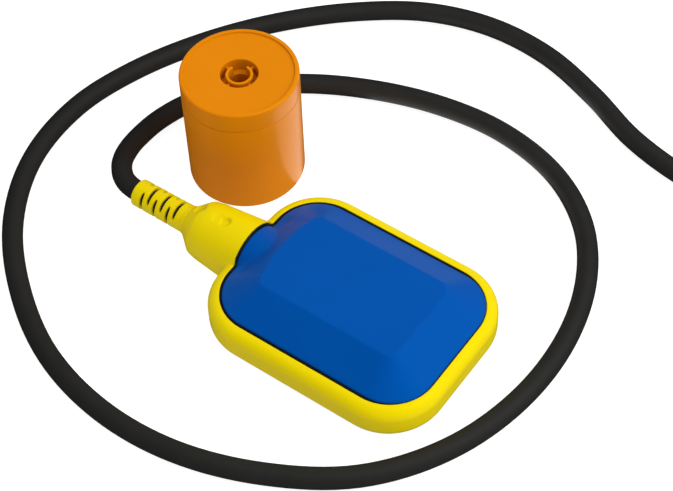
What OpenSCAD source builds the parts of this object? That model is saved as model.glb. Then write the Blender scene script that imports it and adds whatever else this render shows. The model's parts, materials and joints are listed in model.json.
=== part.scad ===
// Cable float switch with a loose counterweight. Millimetres, +Z up.
// The origin is the middle of the float's lower resting panel. The float is
// long in X, and its cable leaves towards -X and then lies round it on the floor.

/* [Float] */
// Length of the frame ring
float_l = 106.4; // [102:0.2:116]
// Width of the frame ring
float_w = 82.8; // [78:0.2:90]
// Thickness over both covers
float_t = 36; // [36:0.5:38]
// Outer corner radius of the frame ring
frame_r = 24.4; // [23:0.1:26]
// Height of the frame ring
rim_h = 16; // [16:0.5:17]
// Rounding of the frame ring's outer edges
rim_edge_r = 5; // [3:0.5:6]
// Length of each cover
cover_l = 95.7; // [92:0.1:96]
// Width of each cover
cover_w = 69.7; // [66:0.1:70]
// Corner radius of each cover
cover_corner_r = 17.85; // [16:0.05:18]
// Width of the seal that shows along each cover's sides
seal_w = 1.25; // [0.8:0.05:1.3]
// Length of each cover's flat panel
panel_l = 65; // [60:1:68]
// Width of each cover's flat panel
panel_w = 41; // [38:1:44]
// Wall of the covers
cover_wall = 2.5; // [2:0.1:2.6]

/* [Neck and strain relief] */
// Where the neck meets the covers, from the float's middle
neck_start = 49.5; // [49:0.5:50]
// Radius of the neck at the covers
neck_r = 15.3; // [14.2:0.1:15.6]
// Radius of the neck just before its waist
neck_end_r = 12.2; // [10:0.1:13]
// End of the neck, from the float's middle
neck_end = 84; // [84:0.5:90]
// Length of the strain relief beyond the neck
relief_l = 26; // [25:0.5:32]
// Radius of the strain relief at the neck
relief_r = 6.2; // [6:0.1:7]
// Radius of the strain relief at its tip
relief_tip_r = 6; // [5.5:0.1:6.2]
// Rings of slots in the strain relief
slot_rings = 6; // [3:1:6]
// Angle that one slot spans
slot_angle = 130; // [90:5:140]

/* [Counterweight] */
// Outside diameter
weight_d = 50.2; // [48:0.2:56]
// Height
weight_h = 58; // [56:1:70]
// Height of the lid's band above its seam
lid_h = 9.6; // [9:0.2:11]
// Diameter of the hole that the cable passes through
weight_bore_d = 10.4; // [10:0.2:11]
// Inside diameter of the retaining ring, which grips the cable
ring_d = 9.1; // [9.1:0.1:9.6]
// Height of the iron ballast
ballast_h = 26; // [18:1:38]
// Place of the counterweight on the floor
weight_at = [-92, 50]; // [-110:1:80]

/* [Cable] */
// Diameter of the cable
cable_d = 9; // [8:0.1:9]
// Diameter of one insulated core
core_d = 2.6; // [2:0.1:2.8]
// Laps in each of the coil's two layers
coil_laps = 3; // [2:1:4]
// Radius of the coil's outermost turn
coil_r = 60; // [56:1:64]
// Place of the coil's middle on the floor
coil_at = [184, 88]; // [60:1:200]

/* [Switch] */
// Diameter of the steel ball
ball_d = 16; // [15:0.5:16]
// Middle of the ball where it rests, at the far end of its track
ball_x = 27.7; // [10:0.1:27.7]
// Angle of the switch lever at rest
lever_tilt = 8; // [6:0.5:8]

/* [Hidden] */
$fn = 64;
cut = 1; // how far a cutting shape runs past a face
hull_fn = 32;

// Colours
frame_yellow = [0.95, 0.86, 0.02];
cover_blue = [0.0, 0.31, 0.68];
weight_orange = [0.88, 0.50, 0.04];
rubber_black = [0.09, 0.09, 0.09];

// Levels of the float
mid_z = float_t / 2;
rim_lo = mid_z - rim_h / 2;
rim_hi = mid_z + rim_h / 2;

// Corner centres of the covers, and the radii of the outlines round them
corner_x = cover_l / 2 - cover_corner_r;
corner_y = cover_w / 2 - cover_corner_r;
flange_r = cover_corner_r;
ledge_in_r = flange_r - 2.35;
seal_in_r = flange_r - 1.55;
bump_r = 14;

// The frame ring's middle lies a little towards the neck. Corner centres of its
// outside and of the seats for the covers, from that middle
frame_at = -0.5;
frame_x = float_l / 2 - frame_r;
frame_y = float_w / 2 - frame_r;
seat_r = flange_r + 2.05;
seat_x = cover_l / 2 + seal_w - 0.3 - seat_r;
seat_y = cover_w / 2 + seal_w - seat_r;
flange_h = 1.5;
seal_h = 0.5;
panel_corner_r = 4.5;

// Neck, cable gland and core positions
gland_r = 5.7;
gland_end = 72;
spigot_end = 78;
spigot_r = 5.6;
jacket_end = 54;
resin_end = 48;
cable_r = cable_d / 2;
core_r = core_d / 2;
core_pitch_r = 1.9;
relief_tip = neck_end + relief_l;
slot_w = 1.7;
slot_pitch = 3.4;
slot_first = neck_end + 2.9;

// Switch case
case_x = 38;
case_y = 17;
case_lo = 7.7;
case_hi = 26.3;
case_wall = 2;
lid_t = 1.5;
ear_x = 24;
ear_y = 20.5;
ear_r = 3.4;
post_r = 3.2;
screw_r = 1.25;
screw_hole_r = 1.45;
ball_gap = 0.3;
pocket_y = 14.9;
pocket_end_x = -8.3;

// Microswitch: 15.9 x 27.8 x 10.3 mm, its plunger towards +X
micro_x0 = -30;
micro_l = 15.9;
micro_w = 27.8;
micro_h = 10.3;
micro_wall = 1.5;
micro_x1 = micro_x0 + micro_l;
micro_z0 = mid_z - micro_h / 2;
plunger_y = 5;
plunger_r = 1.5;
plunger_clearance = 0.08;
lever_at = [-12.3, 12.5];
lever_l = 24;
lever_w = 4.5;
lever_t = 0.5;
pin_r = 0.8;
terminal_w = 4.8;
terminal_t = 0.8;
terminal_y = 9;
terminal_tip = -35.9;

// Counterweight
weight_r = weight_d / 2;
weight_wall = 2.2;
seam_gap = 0.1;
seam_z = weight_h - lid_h;
weight_tube_r = 7;
recess_r = 8;
lid_step = 0.8;

// Coil: two layers of laps, one cable diameter apart, on ties of tie_t
tie_t = 1;
tie_w = 12;
coil_in_r = coil_r - coil_laps * cable_d;
coil_h = 2 * cable_d;

// The cable's way, from the strain relief's tip round the float to the coil
CORD_ROUTE = [
  [-110, 0, 18], [-119.3, 2, 17.4], [-127.3, 9, 15.5], [-132.7, 19.6, 12.2], [-135.5, 32.5, 8.8],
  [-136.2, 46, 5.7], [-132.4, 60.5, 4.5], [-118.6, 80.5, 4.5], [-97.4, 98.4, 4.5], [-69, 113, 4.5],
  [-38, 122, 4.5], [-7, 123.8, 4.5], [24.2, 115.9, 4.5], [48, 99, 4.5], [63.7, 75.4, 4.5],
  [72.6, 44.1, 4.5], [72.2, 8.8, 4.5], [61.5, -25.6, 4.5], [40.4, -54.4, 4.5], [10, -74.1, 4.5],
  [-25, -85.8, 4.5], [-60, -87.4, 4.5], [-95, -79, 4.5], [-127, -60, 4.5], [-153.2, -34.2, 4.5],
  [-169.2, -3, 4.5], [-172.8, 30.8, 4.5], [-165.7, 61.5, 4.5], [-150.5, 93.5, 4.5],
  [-129.4, 123.3, 4.5], [-103.2, 149.2, 4.5], [-75.3, 167.5, 4.5], [-46, 175.6, 4.5],
  [-15.8, 174.4, 4.5], [14, 164.8, 4.5], [41.6, 152.4, 4.5], [70, 146, 4.5], [98, 145.5, 4.5],
  [128, 147, 5], [160, 148, 5.5]
];
// The cable's end, off the coil's upper layer and down beside it
TAIL_ROUTE = [
  [184, 148, 14.5], [206, 146.5, 14], [226, 138.5, 12], [242, 125, 8.5],
  [252, 108, 5], [256, 90, 4.5], [256, 76, 4.5]
];
tail_end = TAIL_ROUTE[len(TAIL_ROUTE) - 1];
core_reach = 32;
core_spread = 7;
ferrule_r = 1;
ferrule_l = 10;
ferrule_z = 1.5;

function unit(v) = v / norm(v);

// The direction of a route at point i. first and last, where given, set its ends.
function heading(route, i, first, last) =
  i == 0 ? unit(is_undef(first) ? route[1] - route[0] : first)
  : i == len(route) - 1 ? unit(is_undef(last) ? route[i] - route[i - 1] : last)
  : unit(unit(route[i + 1] - route[i]) + unit(route[i] - route[i - 1]));

function ring_points(centre, along, radius, sides) =
  let (side = unit(cross([0, 0, 1], along)), up = cross(along, side))
  [for (k = [0 : sides - 1])
    centre + radius * (cos(360 * k / sides) * side + sin(360 * k / sides) * up)];

// One closed tube along a route
module swept_tube(route, radius, sides, first, last) {
  rings = len(route);
  points = [for (i = [0 : rings - 1])
    each ring_points(route[i], heading(route, i, first, last), radius, sides)];
  walls = [for (i = [0 : rings - 2], k = [0 : sides - 1])
    let (next = (k + 1) % sides)
    [i * sides + k, (i + 1) * sides + k, (i + 1) * sides + next, i * sides + next]];
  start_cap = [for (k = [0 : sides - 1]) k];
  end_cap = [for (k = [sides - 1 : -1 : 0]) (rings - 1) * sides + k];
  polyhedron(points, concat([start_cap], walls, [end_cap]));
}

// A rounded rectangle whose corners have radius r about the centres (x, y)
module outline(r, x, y) {
  square([2 * x, 2 * (y + r)], center = true);
  square([2 * (x + r), 2 * y], center = true);
  for (side = [-1, 1], end = [-1, 1]) translate([end * x, side * y]) circle(r);
}

// A plate whose corners lie about the covers' corner centres
module plate(r, low, high) {
  translate([0, 0, low]) linear_extrude(high - low) outline(r, corner_x, corner_y);
}

// A plate of the outline of a cover's seat
module seat_plate(low, high) {
  translate([frame_at, 0, low]) linear_extrude(high - low) outline(seat_r, seat_x, seat_y);
}

// A round rod or bore along X
module rod_x(x0, x1, r) {
  translate([x0, 0, mid_z]) rotate([0, 90, 0]) cylinder(h = x1 - x0, r = r);
}

module tube_x(x0, x1, r, bore_r) {
  difference() {
    rod_x(x0, x1, r);
    rod_x(x0 - cut, x1 + cut, bore_r);
  }
}

module block(low, high) {
  translate(low) cube(high - low);
}

module mirrored_below() {
  translate([0, 0, mid_z]) mirror([0, 0, 1]) translate([0, 0, -mid_z]) children();
}

// The flat panel of a cover, shrunk by inset, as a thin slab
module panel_slab(inset, level) {
  r = panel_corner_r - inset * 0.6;
  translate([0, 0, level]) linear_extrude(0.01) hull()
    for (x = [-1, 1], y = [-1, 1])
      translate([x * (panel_l / 2 - inset - r), y * (panel_w / 2 - inset - r)])
        circle(r, $fn = hull_fn);
}

module dome(r, inset, low, high) {
  hull() {
    plate(r, low, low + 0.01, $fn = hull_fn);
    panel_slab(inset, high - 0.01);
  }
}

module cover() {
  flange_lo = rim_hi - flange_h;
  difference() {
    union() {
      plate(flange_r, flange_lo, rim_hi);
      dome(flange_r, 0, rim_hi - 0.01, float_t);
      // the neck's round form runs on into the cover
      intersection() {
        rod_x(-neck_start + seam_gap, -36, bump_r);
        block([-60, -20, rim_hi], [-30, 20, float_t]);
      }
    }
    dome(ledge_in_r - 0.15, cover_wall - 0.2, flange_lo - 0.01, float_t - cover_wall);
  }
}

module top_cover() {
  color(cover_blue) cover();
}

module bottom_cover() {
  color(cover_blue) difference() {
    union() {
      mirrored_below() cover();
      for (x = [-ear_x, ear_x], y = [-ear_y, ear_y])
        translate([x, y, cover_wall]) cylinder(h = case_lo - cover_wall, r = post_r);
    }
    for (x = [-ear_x, ear_x], y = [-ear_y, ear_y])
      translate([x, y, cover_wall + 1.2]) cylinder(h = case_lo, r = screw_r);
  }
}

// Section of the frame ring, from one of its corner centres outwards
module ring_section() {
  straight = frame_r - rim_edge_r;
  inside = ledge_in_r - 4;
  translate([inside, rim_lo]) square([straight - inside, rim_h]);
  translate([straight, rim_lo + rim_edge_r]) square([rim_edge_r, rim_h - 2 * rim_edge_r]);
  intersection() {
    for (z = [rim_lo + rim_edge_r, rim_hi - rim_edge_r]) translate([straight, z]) circle(rim_edge_r);
    translate([straight, rim_lo]) square([rim_edge_r, rim_h]);
  }
}

module frame_ring() {
  translate([frame_at, 0, 0]) for (turn = [0, 180]) rotate(turn) {
    translate([frame_x, frame_y, 0]) rotate_extrude(angle = 90) ring_section();
    translate([-frame_x, frame_y, 0]) rotate(90) rotate_extrude(angle = 90) ring_section();
    translate([0, frame_y, 0]) rotate([90, 0, 90])
      linear_extrude(2 * frame_x, center = true) ring_section();
    translate([frame_x, 0, 0]) rotate([90, 0, 0])
      linear_extrude(2 * frame_y, center = true) ring_section();
  }
}

// Pocket for a cover's flange, with the groove for its seal
module cover_seat() {
  seat_plate(rim_hi - flange_h, rim_hi + cut);
  difference() {
    seat_plate(rim_hi - flange_h - seal_h, rim_hi);
    plate(seal_in_r, rim_hi - 2 * flange_h, rim_hi + cut);
  }
}

module neck() {
  waist = neck_end - 2;
  translate([0, 0, mid_z]) rotate([0, 90, 0]) rotate_extrude()
    polygon([[0, -neck_start], [neck_r, -neck_start], [neck_end_r + 0.8, -gland_end],
      [neck_end_r, 8.4 - neck_end], [neck_end_r - 3.5, 4.4 - neck_end],
      [relief_r + 0.9, -waist], [relief_r + 0.1, -neck_end], [0, -neck_end]]);
}

module rim_frame() {
  color(frame_yellow) difference() {
    union() {
      frame_ring();
      neck();
    }
    plate(ledge_in_r, rim_lo - cut, rim_hi + cut);
    cover_seat();
    mirrored_below() cover_seat();
    rod_x(-gland_end, -corner_x, gland_r);
    rod_x(-spigot_end - cut, -gland_end + cut, cable_r + 0.05);
    rod_x(-neck_end - cut, -spigot_end, spigot_r);
  }
}

module seal() {
  difference() {
    union() {
      seat_plate(rim_hi - flange_h - seal_h, rim_hi - flange_h);
      seat_plate(rim_hi - flange_h, rim_hi);
    }
    plate(seal_in_r, rim_hi - 2 * flange_h, rim_hi - flange_h + 0.01);
    plate(flange_r, rim_hi - flange_h, rim_hi + cut);
  }
}

module upper_seal() {
  color(rubber_black) seal();
}

module lower_seal() {
  color(rubber_black) mirrored_below() seal();
}

// Flexible sleeve with rings of slots that alternate between top and sides
module strain_relief() {
  color(frame_yellow) difference() {
    translate([0, 0, mid_z]) rotate([0, 90, 0]) rotate_extrude()
      polygon([[cable_r + 0.05, -spigot_end], [spigot_r, -spigot_end], [spigot_r, -neck_end],
        [relief_r, -neck_end], [relief_tip_r, 1.1 - relief_tip],
        [relief_tip_r - 0.9, -relief_tip], [cable_r + 0.05, -relief_tip]]);
    for (i = [0 : slot_rings - 1], side = [0, 180])
      translate([-slot_first - i * slot_pitch, 0, mid_z])
        rotate([0, -90, 0]) rotate(side + (i % 2) * 90 - slot_angle / 2)
          rotate_extrude(angle = slot_angle)
            translate([cable_r - 1, 0]) square([relief_r, slot_w]);
  }
}

module cable_entry() {
  color(rubber_black) rod_x(-relief_tip, -jacket_end, cable_r);
}

module grommet_seal() {
  color([0.2, 0.2, 0.2]) tube_x(-gland_end, -63, gland_r, cable_r);
}

module clamp_ring() {
  color("silver") tube_x(-63, -61, gland_r, cable_r);
}

module gland_nut() {
  color([0.85, 0.85, 0.82]) difference() {
    tube_x(-61, -jacket_end, gland_r, cable_r + 0.05);
    for (turn = [0, 90]) translate([-jacket_end - 2, 0, mid_z]) rotate([turn, 0, 0])
      translate([0, -gland_r - cut, -1]) cube([2 + cut, 2 * (gland_r + cut), 2]);
  }
}

// Where core number i lies in the cable, across its axis
function core_offset(i) = core_pitch_r * [cos(90 + 120 * i), sin(90 + 120 * i)];

module resin_plug() {
  color([0.16, 0.14, 0.12]) difference() {
    rod_x(-jacket_end, -resin_end, gland_r);
    for (i = [0 : 2]) translate([0, core_offset(i)[0], core_offset(i)[1]])
      rod_x(-jacket_end - cut, -resin_end + cut, core_r);
  }
}

// One core from the cable's end to its terminal at y
module inner_wire(i, y) {
  start = [0, core_offset(i)[0], mid_z + core_offset(i)[1]];
  swept_tube([start - [jacket_end, 0, 0], start - [resin_end, 0, 0],
      [-45, 0.7 * start[1] + 0.3 * y, start[2]], [-42, 0.35 * start[1] + 0.65 * y, mid_z],
      [-39, y, mid_z], [terminal_tip, y, mid_z]],
    core_r, 8, [1, 0, 0], [1, 0, 0]);
}

module wire_black() {
  color([0.1, 0.1, 0.1]) inner_wire(0, 0);
}

module wire_brown() {
  color([0.35, 0.18, 0.08]) inner_wire(1, -terminal_y);
}

module wire_blue() {
  color([0.1, 0.3, 0.75]) inner_wire(2, terminal_y);
}

module case_outline() {
  square([2 * case_x, 2 * case_y], center = true);
  for (x = [-ear_x, ear_x], y = [-1, 1]) {
    translate([x, y * ear_y]) circle(ear_r);
    translate([x, y * (case_y + ear_y) / 2]) square([2 * ear_r, ear_y - case_y + 0.1], center = true);
  }
}

module ear_holes(low, high) {
  for (x = [-ear_x, ear_x], y = [-ear_y, ear_y])
    translate([x, y, low]) cylinder(h = high - low, r = screw_hole_r);
}

module switch_case() {
  channel_r = ball_d / 2 + ball_gap;
  color([0.9, 0.9, 0.86]) difference() {
    translate([0, 0, case_lo]) linear_extrude(case_hi - case_lo) case_outline();
    // seat of the microswitch, with room for its terminals and lever
    block([-case_x + case_wall, -pocket_y, micro_z0], [pocket_end_x, pocket_y, case_hi + cut]);
    // track of the ball
    rod_x(-12, case_x - case_wall, channel_r);
    block([-12, -channel_r, mid_z], [case_x - case_wall, channel_r, case_hi + cut]);
    // slot for the wires
    block([-case_x - cut, -11, mid_z - 3], [-case_x + case_wall + cut, 11, mid_z + 3]);
    ear_holes(case_lo - cut, case_hi + cut);
  }
}

module switch_case_lid() {
  color([0.86, 0.86, 0.82]) difference() {
    translate([0, 0, case_hi]) linear_extrude(lid_t) case_outline();
    ear_holes(case_hi - cut, case_hi + lid_t + cut);
  }
}

module case_screws() {
  color("silver") for (x = [-ear_x, ear_x], y = [-ear_y, ear_y]) translate([x, y, 0]) {
    translate([0, 0, cover_wall + 1.2])
      cylinder(h = case_hi + lid_t - cover_wall - 1.2, r = screw_r);
    translate([0, 0, case_hi + lid_t]) difference() {
      cylinder(h = 1.6, r = 2.6);
      for (turn = [0, 90]) rotate(turn) translate([-1.6, -0.3, 0.8]) cube([3.2, 0.6, 2]);
    }
  }
}

module microswitch_base() {
  split = micro_z0 + micro_h - micro_wall;
  color([0.13, 0.13, 0.14]) difference() {
    union() {
      block([micro_x0, -micro_w / 2, micro_z0], [micro_x1, micro_w / 2, split]);
      // ears that hold the lever's pin
      for (z = [mid_z - lever_w / 2 - 2.2, mid_z + lever_w / 2 + 0.15])
        block([micro_x1 - 0.01, lever_at[1] - 1.4, z], [lever_at[0] + 1.4, micro_w / 2, z + 2.05]);
    }
    block([micro_x0 + micro_wall, -micro_w / 2 + micro_wall, micro_z0 + micro_wall],
      [micro_x1 - micro_wall, micro_w / 2 - micro_wall, split + cut]);
    translate([0, plunger_y, 0])
      rod_x(micro_x1 - micro_wall - cut, micro_x1 + cut, plunger_r + plunger_clearance);
    for (y = [-terminal_y, 0, terminal_y])
      block([micro_x0 - cut, y - terminal_t / 2, mid_z - terminal_w / 2],
        [micro_x0 + micro_wall + cut, y + terminal_t / 2, mid_z + terminal_w / 2]);
    translate([lever_at[0], lever_at[1], micro_z0]) cylinder(h = micro_h, r = pin_r);
  }
}

module microswitch_cover() {
  color([0.16, 0.16, 0.17])
    block([micro_x0, -micro_w / 2, micro_z0 + micro_h - micro_wall],
      [micro_x1, micro_w / 2, micro_z0 + micro_h]);
}

// A terminal blade through the microswitch's back wall, to the depth inner_x
module terminal(y, inner_x) {
  color("gold") block([terminal_tip, y - terminal_t / 2, mid_z - terminal_w / 2],
    [inner_x, y + terminal_t / 2, mid_z + terminal_w / 2]);
}

module terminal_common() {
  terminal(terminal_y, -17.3);
}

module terminal_break() {
  terminal(0, -24);
}

module terminal_make() {
  terminal(-terminal_y, -20.5);
  color("gold") translate([0, 1 - terminal_y, 0]) rod_x(-20.5, -19, 1.4);
}

module contact_blade() {
  color([0.8, 0.5, 0.3]) block([-17.3, -terminal_y, mid_z - 2], [-17, terminal_y + 0.5, mid_z + 2]);
}

module lever_pin() {
  color("silver") translate([lever_at[0], lever_at[1], mid_z - lever_w / 2 - 2.2])
    cylinder(h = lever_w + 4.4, r = pin_r);
}

module switch_lever() {
  color("silver") translate([lever_at[0], lever_at[1], mid_z - lever_w / 2]) rotate(lever_tilt)
    difference() {
      union() {
        cylinder(h = lever_w, r = pin_r + 0.6);
        translate([-lever_t / 2, -lever_l, 0]) cube([lever_t, lever_l, lever_w]);
      }
      translate([0, 0, -cut]) cylinder(h = lever_w + 2 * cut, r = pin_r + 0.05);
    }
}

module switch_plunger() {
  tip_x = -11.65;
  color([0.75, 0.12, 0.1]) translate([0, plunger_y, 0]) {
    rod_x(-16.5, tip_x - plunger_r, plunger_r);
    translate([tip_x - plunger_r, 0, mid_z]) rotate([0, 90, 0]) rotate_extrude() intersection() {
      circle(plunger_r);
      square(plunger_r);
    }
  }
}

module steel_ball() {
  color("silver") translate([ball_x, 0, mid_z]) sphere(d = ball_d);
}

// Shapes that stand where the counterweight does
module at_weight() {
  translate([weight_at[0], weight_at[1], 0]) children();
}

module weight_ring(low, high, r, bore_r) {
  translate([0, 0, low]) difference() {
    cylinder(h = high - low, r = r);
    translate([0, 0, -cut]) cylinder(h = high - low + 2 * cut, r = bore_r);
  }
}

module weight_shell() {
  edge = 1.2;
  color(weight_orange) at_weight() difference() {
    rotate_extrude() polygon([[0, 0], [weight_r - edge, 0], [weight_r, edge],
      [weight_r, seam_z - seam_gap], [weight_r - weight_wall, seam_z - seam_gap],
      [weight_r - weight_wall, cover_wall], [weight_tube_r, cover_wall],
      [weight_tube_r, seam_z + 1.6], [0, seam_z + 1.6]]);
    translate([0, 0, -cut]) cylinder(h = weight_h, r = weight_bore_d / 2);
  }
}

// The lid's long skirt holds the ballast down
module weight_lid() {
  edge = 0.6;
  skirt_r = weight_r - weight_wall - 0.1;
  skirt_wall = 1.6;
  skirt_lo = cover_wall + ballast_h;
  face = weight_h - lid_step;
  plate_lo = face - 2.4;
  collar_r = recess_r + 1.8;
  collar_lo = seam_z + 2;
  color(weight_orange) at_weight() rotate_extrude()
    polygon([[recess_r, collar_lo], [collar_r, collar_lo], [collar_r, plate_lo],
      [skirt_r - skirt_wall, plate_lo], [skirt_r - skirt_wall, skirt_lo],
      [skirt_r, skirt_lo], [skirt_r, seam_z], [weight_r, seam_z],
      [weight_r, weight_h - edge], [weight_r - edge, weight_h],
      [weight_r - 1.5, weight_h], [weight_r - 1.8, face], [recess_r, face]]);
}

module ballast_ring() {
  color([0.3, 0.3, 0.32]) at_weight()
    weight_ring(cover_wall, cover_wall + ballast_h, weight_r - weight_wall - 0.4, weight_tube_r + 0.3);
}

// A split ring on four tabs, to be broken out and clipped round the cable
module retaining_ring() {
  ring_lo = weight_h - 5.4;
  ring_out_r = 5.8;
  first_tab = 170;
  color(weight_orange) at_weight() rotate(first_tab) {
    translate([0, 0, ring_lo]) rotate(-8.5) rotate_extrude(angle = 287)
      translate([ring_d / 2, 0]) square([ring_out_r - ring_d / 2, 4]);
    intersection() {
      for (turn = [0 : 90 : 270]) rotate(turn)
        translate([ring_out_r - 0.3, -0.8, ring_lo + 1.2]) cube([4, 1.6, 1.4]);
      cylinder(h = weight_h, r = recess_r);
    }
  }
}

module cord_tube() {
  color(rubber_black) swept_tube(CORD_ROUTE, cable_r, 12, [-1, 0, 0], [1, 0, 0]);
}

module cord_coil() {
  color(rubber_black) translate([coil_at[0], coil_at[1], 0]) rotate_extrude()
    translate([coil_in_r - cable_r, tie_t]) square([coil_r - coil_in_r + cable_d, coil_h]);
}

module cord_tail() {
  color(rubber_black) swept_tube(TAIL_ROUTE, cable_r, 12, [1, 0, 0], [0, -1, 0]);
}

// Core number i, fanned out by spread from the cable's stripped end
module bare_core(i, spread) {
  start = tail_end + [core_offset(i)[0], 0, core_offset(i)[1]];
  over = tail_end[0] + spread;
  swept_tube([start, start - [0, 6, 0],
      [(start[0] + over) / 2, tail_end[1] - core_reach / 2, (start[2] + ferrule_z) / 2],
      [over, tail_end[1] - core_reach + 7, ferrule_z], [over, tail_end[1] - core_reach, ferrule_z]],
    core_r, 8, [0, -1, 0], [0, -1, 0]);
}

module ferrule(spread) {
  color("silver") translate([tail_end[0] + spread, tail_end[1] - core_reach, ferrule_z])
    rotate([90, 0, 0]) rotate_extrude()
      polygon([[0, 0], [1.45, 0], [ferrule_r, 1.5], [ferrule_r, ferrule_l], [0, ferrule_l]]);
}

module core_black() {
  color([0.1, 0.1, 0.1]) bare_core(0, 0);
}

module core_blue() {
  color([0.1, 0.3, 0.75]) bare_core(1, -core_spread);
}

module core_brown() {
  color([0.35, 0.18, 0.08]) bare_core(2, core_spread);
}

module ferrule_black() {
  ferrule(0);
}

module ferrule_blue() {
  ferrule(-core_spread);
}

module ferrule_brown() {
  ferrule(core_spread);
}

// A strap round the coil's bundle of turns
module coil_tie(turn) {
  inner = coil_in_r - cable_r - 0.7;
  outer = coil_r + cable_r + 0.1;
  color([0.12, 0.12, 0.13]) translate([coil_at[0], coil_at[1], 0]) rotate(turn) difference() {
    block([inner - tie_t, -tie_w / 2, 0], [outer + tie_t, tie_w / 2, coil_h + 2 * tie_t]);
    block([inner, -tie_w, tie_t], [outer, tie_w, coil_h + tie_t]);
  }
}

module coil_tie_a() {
  coil_tie(135);
}

module coil_tie_b() {
  coil_tie(315);
}

top_cover();
bottom_cover();
rim_frame();
upper_seal();
lower_seal();
strain_relief();
cable_entry();
grommet_seal();
clamp_ring();
gland_nut();
resin_plug();
wire_brown();
wire_black();
wire_blue();
switch_case();
switch_case_lid();
case_screws();
microswitch_base();
microswitch_cover();
terminal_common();
terminal_make();
terminal_break();
contact_blade();
lever_pin();
switch_lever();
switch_plunger();
steel_ball();
weight_shell();
weight_lid();
ballast_ring();
retaining_ring();
cord_tube();
cord_coil();
cord_tail();
core_brown();
core_black();
core_blue();
ferrule_brown();
ferrule_black();
ferrule_blue();
coil_tie_a();
coil_tie_b();
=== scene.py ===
import json
import math

import bmesh
import bpy
from mathutils import Matrix, Vector


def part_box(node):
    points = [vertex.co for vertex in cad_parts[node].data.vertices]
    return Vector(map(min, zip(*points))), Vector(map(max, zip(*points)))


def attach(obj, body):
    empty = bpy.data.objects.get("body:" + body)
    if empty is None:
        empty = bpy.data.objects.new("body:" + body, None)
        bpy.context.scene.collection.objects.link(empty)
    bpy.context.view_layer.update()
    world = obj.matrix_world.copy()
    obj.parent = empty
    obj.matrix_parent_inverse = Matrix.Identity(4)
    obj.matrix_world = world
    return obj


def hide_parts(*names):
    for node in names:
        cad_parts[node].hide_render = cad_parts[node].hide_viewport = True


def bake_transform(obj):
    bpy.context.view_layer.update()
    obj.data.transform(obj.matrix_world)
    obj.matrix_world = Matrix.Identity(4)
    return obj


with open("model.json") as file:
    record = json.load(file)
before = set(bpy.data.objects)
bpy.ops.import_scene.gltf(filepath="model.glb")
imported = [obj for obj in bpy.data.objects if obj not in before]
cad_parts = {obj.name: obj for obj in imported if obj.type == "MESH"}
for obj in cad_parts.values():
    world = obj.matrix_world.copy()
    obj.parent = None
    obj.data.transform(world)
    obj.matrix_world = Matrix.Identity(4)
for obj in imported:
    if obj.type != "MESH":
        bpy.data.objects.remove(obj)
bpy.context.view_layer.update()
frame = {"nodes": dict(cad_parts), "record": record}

# Sizes and places are millimetres, in the frame's axes, except under Floor and light.
MM = 0.001
UP = Vector((0, 0, 1))


def box_mm(node):
    low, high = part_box(node)
    return low / MM, high / MM


# ---- Sizes that come from the frame ----
FRAME_LOW, FRAME_HIGH = box_mm("rim_frame")
COVER_HIGH = box_mm("top_cover")[1]
RELIEF_LOW = box_mm("strain_relief")[0]
SHELL_LOW, SHELL_HIGH = box_mm("weight_shell")
LID_HIGH = box_mm("weight_lid")[1]
COIL_LOW, COIL_HIGH = box_mm("cord_coil")
MID_Z = (FRAME_LOW.z + FRAME_HIGH.z) / 2
CABLE_D = (COIL_HIGH.z - COIL_LOW.z) / 2
CABLE_R = CABLE_D / 2

# ---- Camera ----
CAMERA_AT = Vector((256.6, -347.6, 614.0)) * MM
CAMERA_HEADING = math.radians(127.2)
CAMERA_PITCH = math.radians(52.0)
CAMERA_ROLL = math.radians(-2.37)
CAMERA_LENS = 98.86


def make_camera():
    data = bpy.data.cameras.new("camera")
    data.lens = CAMERA_LENS
    camera = bpy.data.objects.new("camera", data)
    flat = Vector((math.cos(CAMERA_HEADING), math.sin(CAMERA_HEADING), 0))
    forward = flat * math.cos(CAMERA_PITCH) - UP * math.sin(CAMERA_PITCH)
    level = forward.cross(UP).normalized()
    right = level * math.cos(CAMERA_ROLL) + level.cross(forward) * math.sin(CAMERA_ROLL)
    turn = Matrix((right, right.cross(forward), -forward)).transposed()
    camera.matrix_world = Matrix.Translation(CAMERA_AT) @ turn.to_4x4()
    bpy.context.scene.collection.objects.link(camera)
    bpy.context.scene.camera = camera


# ---- Curves ----
def heading(points, i, first=None, last=None):
    """The direction of a route at point i; first and last, where given, set its ends."""
    if i == 0 and first:
        return Vector(first).normalized()
    if i == len(points) - 1 and last:
        return Vector(last).normalized()
    ahead = points[min(i + 1, len(points) - 1)] - points[i]
    behind = points[i] - points[max(i - 1, 0)]
    return (ahead.normalized() + behind.normalized()).normalized()


def smooth_curve(name, points, radius, first=None, last=None, steps=8):
    """A round cord through points, straight at its ends, as one open spline."""
    data = bpy.data.curves.new(name, "CURVE")
    data.dimensions = "3D"
    data.bevel_depth = radius * MM
    data.bevel_resolution = 8
    data.use_fill_caps = True
    data.resolution_u = steps
    spline = data.splines.new("BEZIER")
    spline.bezier_points.add(len(points) - 1)
    for i, (knot, here) in enumerate(zip(spline.bezier_points, points)):
        along = heading(points, i, first, last)
        before = (here - points[max(i - 1, 0)]).length / 3
        after = (points[min(i + 1, len(points) - 1)] - here).length / 3
        knot.handle_left_type = knot.handle_right_type = "FREE"
        knot.co = here * MM
        knot.handle_left = (here - along * (before or after)) * MM
        knot.handle_right = (here + along * (after or before)) * MM
    obj = bpy.data.objects.new(name, data)
    bpy.context.scene.collection.objects.link(obj)
    return obj


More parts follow.
